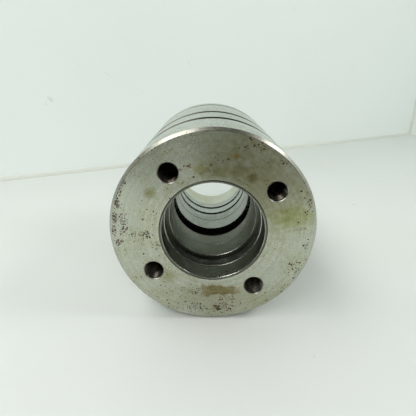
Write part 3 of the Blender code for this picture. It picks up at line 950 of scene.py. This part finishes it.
def cap_screw(name, place, head_y, inward, head_r, head_length, shank_r, shank_length):
    """A socket head cap screw: rounded head, hexagon socket, pitched shank with a broken tip."""
    turn = 2.0 * shank_r * 0.16
    outline = [
        (head_y, 0.0, 0.0),
        (head_y, head_r, head_r * 0.12),
        (head_y + inward * head_length, head_r, head_r * 0.05),
        (head_y + inward * head_length, shank_r, 0.0),
    ]
    reach = head_length + turn
    while reach + turn < head_length + shank_length * 0.9:
        outline.append((head_y + inward * reach, shank_r, 0.0))
        outline.append((head_y + inward * (reach + turn / 2), shank_r * 0.90, 0.0))
        reach += turn
    tip = head_y + inward * (head_length + shank_length)
    outline += [(tip - inward * shank_r * 0.3, shank_r, 0.0), (tip, shank_r * 0.7, 0.0), (tip, 0.0, 0.0)]
    screw = lathe(name, rounded(outline, 0.0), HOLE_STEPS // 2, place)
    socket_r = head_r * 0.45 / math.cos(math.pi / 6)
    floor = head_y + inward * head_length * 0.45
    socket = [(head_y - inward * MM, 0.0), (head_y - inward * MM, socket_r), (floor, socket_r), (floor, 0.0)]
    carve(screw, lathe("hexagon_key", socket, 6, place))
    smooth(screw, 50.0)
    screw.data.materials.append(black_screw_steel)
    return screw


ring_steel = steel("clean_turned_steel", (0.55, 0.56, 0.53), 0.32, anisotropy=0.4, lines=1500.0, depth=0.005, cover=0.1)
for end, body, head_side in (("front", "front_end", -1.0), ("rear", "rear_end", 1.0)):
    ring_low, ring_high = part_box(f"{end}_cuff_ring")
    cuff_ring = lathe(f"{end}_cuff_ring_steel", rounded(
        [
            (ring_low.y, 31.4 * MM),
            (ring_low.y, ring_high.z),
            (ring_high.y, ring_high.z),
            (ring_high.y, 31.4 * MM),
        ],
        0.3 * MM,
    ), 128)
    head_low, head_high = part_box(f"{end}_cuff_screw_1")
    head_y = head_high.y if head_side < 0 else head_low.y
    seat_y = head_y + head_side * (2.7 * MM + fit)
    far_y = ring_low.y - MM if head_side < 0 else ring_high.y + MM
    near_y = head_y - head_side * 2 * MM
    drill(cuff_ring, cuff_screw_places, min(seat_y, near_y), max(seat_y, near_y), 3.0 * MM)
    drill(cuff_ring, cuff_screw_places, min(far_y, near_y), max(far_y, near_y), 1.8 * MM)
    smooth(cuff_ring)
    cuff_ring.data.materials.append(ring_steel)
    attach(cuff_ring, body)
    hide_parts(f"{end}_cuff_ring")
    for number, place in enumerate(cuff_screw_places, start=1):
        screw = cap_screw(
            f"{end}_cuff_cap_screw_{number}", place, head_y, head_side, 2.7 * MM, 2.7 * MM, 1.5 * MM, 10.0 * MM
        )
        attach(screw, body)
        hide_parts(f"{end}_cuff_screw_{number}")


# ---------------------------------------------------------------- guide pins and stop nuts
# Three ground steel pins run from the front flange through the control ring into the rear shell. A hex
# nut on each pin's end stops the joint from being pulled apart.

pin_steel = steel("ground_pin_steel", (0.72, 0.73, 0.71), 0.14, lines=5000.0, depth=0.001, tone=0.06, cover=0.05)
for number, place in enumerate(pin_places, start=1):
    pin_low, pin_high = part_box(f"guide_pin_{number}")
    pin = lathe(f"guide_pin_steel_{number}", rounded(
        [(pin_low.y, 0.0, 0.0), (pin_low.y, pin_r), (pin_high.y, pin_r), (pin_high.y, 0.0, 0.0)], 0.5 * MM
    ), HOLE_STEPS, place)
    smooth(pin)
    pin.data.materials.append(pin_steel)
    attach(pin, "front_end")
    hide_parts(f"guide_pin_{number}")

    nut_low, nut_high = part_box(f"stop_nut_{number}")
    corner_r = (nut_high.x - nut_low.x) / 2 / math.cos(math.pi / 6)
    nut = lathe(f"stop_nut_steel_{number}", [
        (nut_low.y, 0.0),
        (nut_low.y, corner_r - 0.5 * MM),
        (nut_low.y + 0.35 * MM, corner_r),
        (nut_high.y - 0.35 * MM, corner_r),
        (nut_high.y, corner_r - 0.5 * MM),
        (nut_high.y, 0.0),
    ], 6, place, math.pi / 6)
    drill(nut, [place], nut_low.y - MM, nut_high.y + MM, pin_r + fit)
    smooth(nut)
    nut.data.materials.append(black_screw_steel)
    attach(nut, "front_end")
    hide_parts(f"stop_nut_{number}")


# ---------------------------------------------------------------- control ring
# The narrow outer band between the two running gaps. It carries bronze bushes on the guide pins and
# moves half as far as the front end, so the convolutions share the travel.

ring_low, ring_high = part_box("control_ring")
web_low, web_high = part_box("web_upper")
ring_bore = 40.0 * MM
web_seat = 42.0 * MM
shoulder = web_high.y + fit
edge_break = 0.5 * MM
control_ring = lathe("control_ring_steel", rounded(
    [
        (ring_low.y, web_seat),
        (ring_low.y, body_r - edge_break),
        (ring_low.y + edge_break, body_r),
        (ring_high.y - edge_break, body_r),
        (ring_high.y, body_r - edge_break),
        (ring_high.y, ring_bore),
        (shoulder, ring_bore),
        (shoulder, web_seat),
    ],
    0.15 * MM,
))
drill(control_ring, pin_places, ring_low.y - MM, ring_high.y + MM, 4.05 * MM)
smooth(control_ring)
# Near-black steel for the sides that face the gaps and for grooves: painted shade.
gap_shade_steel = steel("painted_gap_shade_steel", (0.085, 0.082, 0.070), 0.36, lines=1300.0, depth=0.005, tone=0.25, cover=0.4)


def band_zone(centre, normal):
    """A band is bright outside; the sides that face a gap are painted black as shade."""
    return 0 if math.hypot(centre.x, centre.z) > body_r - 0.2 * MM and abs(normal.y) < 0.5 else 1


paint(control_ring, (barrel_steel, gap_shade_steel), band_zone)
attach(control_ring, "control")
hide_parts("control_ring")


# ---------------------------------------------------------------- webs and their clamp ring
# Two half discs of plate reach down to the middle root of the bellows; a ground ring presses them
# against the shoulder of the control ring.

web_seam = web_low.z
for side, name in ((1.0, "web_upper"), (-1.0, "web_lower")):
    web = lathe(f"{name}_plate", rounded(
        [
            (web_low.y, 31.9 * MM),
            (web_low.y, web_seat - fit),
            (web_high.y, web_seat - fit),
            (web_high.y, 31.9 * MM),
        ],
        0.15 * MM,
    ), 128)
    bpy.ops.object.mode_set(mode="EDIT")
    bpy.ops.mesh.select_all(action="SELECT")
    bpy.ops.mesh.bisect(
        plane_co=(0.0, 0.0, side * web_seam), plane_no=(0.0, 0.0, side), use_fill=True, clear_inner=True
    )
    bpy.ops.object.mode_set(mode="OBJECT")
    smooth(web)
    web.data.materials.append(ring_steel)
    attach(web, "control")
    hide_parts(name)

clamp_low, clamp_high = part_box("web_clamp_ring")
clamp_ring = lathe("web_clamp_ring_steel", rounded(
    [
        (clamp_low.y, ring_bore),
        (clamp_low.y, web_seat - fit),
        (clamp_high.y, web_seat - fit),
        (clamp_high.y, ring_bore),
    ],
    0.25 * MM,
), 128)
smooth(clamp_ring)
clamp_ring.data.materials.append(pin_steel)
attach(clamp_ring, "control")
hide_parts("web_clamp_ring")


# ---------------------------------------------------------------- bronze bushes
# Plain turned bronze tubes, three in the control ring and three in the rear shell, that slide on the
# guide pins.


def bronze(name):
    """Turned bronze: warm metal, darker where grease sits, with fine rings."""
    made = steel(name, (0.48, 0.27, 0.11), 0.30, lines=3500.0, depth=0.003, tone=0.22, cover=0.05,
                 film=((0.45, 0.32, 0.20), 0.7))
    return made


bush_bronze = bronze("turned_bronze")
for kind, body in (("ring_bush", "control"), ("shell_bush", "rear_end")):
    for number, place in enumerate(pin_places, start=1):
        bush_low, bush_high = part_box(f"{kind}_{number}")
        bush = lathe(f"{kind}_bronze_{number}", rounded(
            [
                (bush_low.y, 2.8 * MM),
                (bush_low.y, 3.8 * MM),
                (bush_high.y, 3.8 * MM),
                (bush_high.y, 2.8 * MM),
            ],
            0.25 * MM,
        ), HOLE_STEPS, place)
        smooth(bush)
        bush.data.materials.append(bush_bronze)
        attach(bush, body)
        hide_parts(f"{kind}_{number}")


# ---------------------------------------------------------------- bellows
# Thin metal sleeve pressed into six round convolutions, with a straight cuff at each end. The middle
# root is wider, so the web keeps clear of it in every position. It is coloured almost black, painted shade
# for the cavity seen through the gap, under a film of old oil.

bellows_low, bellows_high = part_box("bellows")
crest_r = bellows_high.z
wall = 0.6 * MM
root_r = 30.2 * MM
live_start = flange_back + 1.5 * MM
live_length = 37.5 * MM
waves = 6
middle_flat = 2.0 * MM
pitch = (live_length - middle_flat) / waves
bend = pitch / 4
mid_root = root_r + wall / 2
mid_crest = crest_r - wall / 2
bend_steps = 8
centre_line = [(bellows_low.y, mid_root, 0.0, 1.0)]
for wave in range(waves):
    start = live_start + wave * pitch + (middle_flat if wave >= waves / 2 else 0.0)
    for middle, radius, first, last, side in (
        (start, mid_root + bend, 270.0, 360.0, -1.0),
        (start + 2 * bend, mid_crest - bend, 180.0, 0.0, 1.0),
        (start + 4 * bend, mid_root + bend, 180.0, 270.0, -1.0),
    ):
        for step in range(bend_steps + 1):
            turn = math.radians(first + (last - first) * step / bend_steps)
            across, out = math.cos(turn), math.sin(turn)
            centre_line.append((middle + bend * across, radius + bend * out, side * across, side * out))
centre_line.append((bellows_high.y, mid_root, 0.0, 1.0))
inside = [(y - wall / 2 * across, r - wall / 2 * out) for y, r, across, out in centre_line]
outside = [(y + wall / 2 * across, r + wall / 2 * out) for y, r, across, out in centre_line]
bellows = lathe("bellows_sleeve", inside + outside[::-1], 128)
smooth(bellows, 50.0)
cavity_shade_metal = steel(
    "painted_shade_bellows_metal", (0.012, 0.011, 0.009), 0.85, lines=900.0, depth=0.004, tone=0.35, cover=0.0,
    film=((0.45, 0.40, 0.32), 0.8), metallic=0.0,
)
bellows.data.materials.append(cavity_shade_metal)
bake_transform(bellows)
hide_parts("bellows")


# ---------------------------------------------------------------- rear shell
# The long outer band behind the second gap, turned like the flange, with a recess for the cuff, seats
# for the bushes and tapped holes for the end flange screws.

shell_low, shell_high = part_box("rear_shell")
rear_recess = 82.0 * MM + low[1]
rear_shell = lathe("rear_shell_steel", rounded(
    [
        (shell_low.y, recess_r),
        (shell_low.y, body_r - edge_break),
        (shell_low.y + edge_break, body_r),
        (shell_high.y, body_r),
        (shell_high.y, seat_r),
        (rear_recess, seat_r),
        (rear_recess, recess_r),
    ],
    0.15 * MM,
))
rear_screw_low, rear_screw_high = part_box("rear_flange_screw_1")
rear_screw_places = [on_circle(bolt_circle_r, degrees + 45.0) for degrees in bolt_angles]
cuff_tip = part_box("rear_cuff_screw_1")[1].y
drill(rear_shell, pin_places, shell_low.y - MM, low[1] + 90.0 * MM, 4.05 * MM)
drill(rear_shell, pin_places, low[1] + 89.9 * MM, shell_high.y + MM, 5.2 * MM)
drill(rear_shell, cuff_screw_places, rear_recess - MM, cuff_tip + fit, 1.8 * MM)
drill(rear_shell, rear_screw_places, rear_screw_low.y - fit, shell_high.y + MM, 4.3 * MM)
smooth(rear_shell)
paint(rear_shell, (barrel_steel, gap_shade_steel), band_zone)
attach(rear_shell, "rear_end")
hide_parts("rear_shell")


# ---------------------------------------------------------------- rear liners
# Three short steel sleeves line the bore of the shell, painted lighter than the front one as more light
# reaches them from the open end, their edges with the painted highlight. The first is painted a little
# darker as shade beside the gap, is held by a collar under the rear cuff and has a fine scribed line whose
# groove is painted black as shade.

bore_steel = steel(
    "turned_bore_steel", (0.40, 0.43, 0.40), 0.26, anisotropy=0.5, lines=1600.0, depth=0.005, tone=0.14,
    cover=0.15, film=((0.84, 0.83, 0.72), 0.5),
)
liner_low, liner_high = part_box("rear_liner_front")
collar_end = rear_recess - fit
groove_y = liner_low.y + 14.6 * MM
rear_liner = lathe("rear_liner_front_steel", rounded(
    [
        (liner_low.y, bore_r, 0.1 * MM),
        (liner_low.y, sleeve_r),
        (collar_end - 3.0 * MM, sleeve_r),
        (collar_end - 3.0 * MM, collar_r),
        (collar_end, collar_r),
        (collar_end, sleeve_r),
        (liner_high.y, sleeve_r),
        (liner_high.y, bore_r + 0.2 * MM),
        (liner_high.y - 0.2 * MM, bore_r),
        (groove_y + 0.8 * MM, bore_r, 0.0),
        (groove_y + 0.8 * MM, bore_r + 0.5 * MM, 0.0),
        (groove_y, bore_r + 0.5 * MM, 0.0),
        (groove_y, bore_r, 0.0),
    ],
    0.08 * MM,
))
smooth(rear_liner)
# A little darker than the other rear liners: painted shade beside the gap.
shaded_rear_bore_steel = steel(
    "shaded_rear_bore_steel", (0.30, 0.322, 0.29), 0.26, anisotropy=0.5, lines=1600.0, depth=0.005, tone=0.14,
    cover=0.15, film=((0.84, 0.83, 0.72), 0.5),
)


def grooved_zone(centre, normal):
    """The groove in the bore is painted black as shade; the rest is grey."""
    return 1 if math.hypot(centre.x, centre.z) > bore_r + 0.05 * MM and centre.y > groove_y - 0.1 * MM else 0


paint(rear_liner, (shaded_rear_bore_steel, gap_shade_steel), grooved_zone)
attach(rear_liner, "rear_end")
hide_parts("rear_liner_front")

for name in ("rear_liner_middle", "rear_liner_back"):
    liner_low, liner_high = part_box(name)
    liner = lathe(f"{name}_steel", rounded(
        [
            (liner_low.y, bore_r),
            (liner_low.y, sleeve_r),
            (liner_high.y, sleeve_r),
            (liner_high.y, bore_r),
        ],
        0.2 * MM,
    ))
    smooth(liner)
    paint(liner, (bore_steel, highlight_edge_steel), edge_zone())
    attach(liner, "rear_end")
    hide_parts(name)


# ---------------------------------------------------------------- bore rings
# Two narrow black rings between the liners, set back a little from the bore, so each shows as a fine
# dark line.

for name in ("bore_ring_front", "bore_ring_rear"):
    ring_low, ring_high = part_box(name)
    bore_ring = lathe(f"{name}_rubber", rounded(
        [
            (ring_low.y, 25.7 * MM),
            (ring_low.y, sleeve_r),
            (ring_high.y, sleeve_r),
            (ring_high.y, 25.7 * MM),
        ],
        0.5 * MM,
    ))
    smooth(bore_ring)
    bore_ring.data.materials.append(black_rubber)
    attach(bore_ring, "rear_end")
    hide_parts(name)


# ---------------------------------------------------------------- outlet sleeve
# The last sleeve of the bore, a little wider than the liners behind a narrow lip, with a collar that
# the end flange clamps. Its light grey is painted light from the open end of the bore.

lit_outlet_steel = steel(
    "painted_light_outlet_steel", (0.61, 0.63, 0.53), 0.36, anisotropy=0.3, lines=1300.0, depth=0.005, tone=0.12,
    cover=0.12, film=((0.90, 0.84, 0.68), 0.5),
)
outlet_low, outlet_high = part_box("outlet_sleeve")
outlet_collar = outlet_high.y - 3.2 * MM
outlet_sleeve = lathe("outlet_sleeve_steel", rounded(
    [
        (outlet_low.y, bore_r),
        (outlet_low.y, sleeve_r),
        (outlet_collar, sleeve_r),
        (outlet_collar, outlet_high.z),
        (outlet_high.y, outlet_high.z),
        (outlet_high.y, mouth_r + 0.5 * MM),
        (outlet_high.y - 0.5 * MM, mouth_r),
        (outlet_low.y + 1.0 * MM, mouth_r),
        (outlet_low.y + 1.0 * MM, bore_r),
    ],
    0.12 * MM,
))
smooth(outlet_sleeve)
paint(outlet_sleeve, (lit_outlet_steel, highlight_edge_steel), edge_zone())
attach(outlet_sleeve, "rear_end")
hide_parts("outlet_sleeve")


# ---------------------------------------------------------------- flange gasket
# Thin dark fibre gasket between the shell and the end flange, seen only as a fine line.

fibre = rubber("dark_gasket_fibre", (0.030, 0.027, 0.022), 0.75)
gasket_low, gasket_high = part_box("flange_gasket")
gasket = lathe("flange_gasket_fibre", rounded(
    [
        (gasket_low.y, seat_r + fit),
        (gasket_low.y, gasket_high.z),
        (gasket_high.y, gasket_high.z),
        (gasket_high.y, seat_r + fit),
    ],
    0.1 * MM,
))
drill(gasket, rear_screw_places, gasket_low.y - MM, gasket_high.y + MM, 4.3 * MM)
smooth(gasket)
gasket.data.materials.append(fibre)
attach(gasket, "rear_end")
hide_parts("flange_gasket")


# ---------------------------------------------------------------- end flange
# The last turned ring, with a groove at its joint to the shell whose faces are painted black as shade.
# Its face matches the front one: four blind tapped holes for the pipe, and between them four counterbores
# for the screws that hold it.

end_low, end_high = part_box("rear_flange")
end_face = end_high.y
groove_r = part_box("flange_gasket")[1].z
groove_end = low[1] + 128.0 * MM
outlet_seat = outlet_high.z + fit
end_flange = lathe("end_flange_steel", rounded(
    [
        (end_low.y, seat_r),
        (end_low.y, groove_r),
        (groove_end, groove_r),
        (groove_end, body_r, 0.4 * MM),
        (end_face - rim_chamfer, body_r, 0.4 * MM),
        (end_face, body_r - rim_chamfer, 0.3 * MM),
        (end_face, outlet_seat),
        (outlet_collar - fit, outlet_seat),
        (outlet_collar - fit, seat_r),
    ],
    0.15 * MM,
))
for degrees in bolt_angles:
    centre = on_circle(bolt_circle_r, degrees)
    carve(end_flange, thread_tap("tap", centre, end_face, -1.0, 10.5 * MM, tap_minor, tap_pitch))
    carve(end_flange, sink_cone(centre, end_face, -1.0, tap_sink, sink_depth))
head_r, head_length, shank_r, shank_length = 6.3 * MM, 7.6 * MM, 4.0 * MM, 22.0 * MM
screw_seat = end_face - 2 * fit - head_length
drill(end_flange, rear_screw_places, end_low.y - MM, end_face + MM, shank_r + fit)
drill(end_flange, rear_screw_places, screw_seat, end_face + MM, head_r + fit)
smooth(end_flange)
end_face_steel = steel(
    "faced_end_steel", (0.52, 0.53, 0.46), 0.34, anisotropy=0.6, lines=950.0, depth=0.006, tone=0.10,
    cover=0.45, film=((0.74, 0.72, 0.52), 0.5),
)
end_zone = flange_zone(end_face)
paint(
    end_flange, (end_face_steel, barrel_steel, hole_shade_steel, rim_steel, gap_shade_steel),
    lambda centre, normal: 4 if centre.y < groove_end + 0.2 * MM else end_zone(centre, normal),
)
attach(end_flange, "rear_end")
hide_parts("rear_flange")


# ---------------------------------------------------------------- end flange screws
# Four blackened M8 socket head screws, sunk flush in the end flange.

for number, place in enumerate(rear_screw_places, start=1):
    screw = cap_screw(
        f"end_flange_cap_screw_{number}", place, end_face - fit, -1.0, head_r, head_length, shank_r, shank_length
    )
    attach(screw, "rear_end")
    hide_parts(f"rear_flange_screw_{number}")
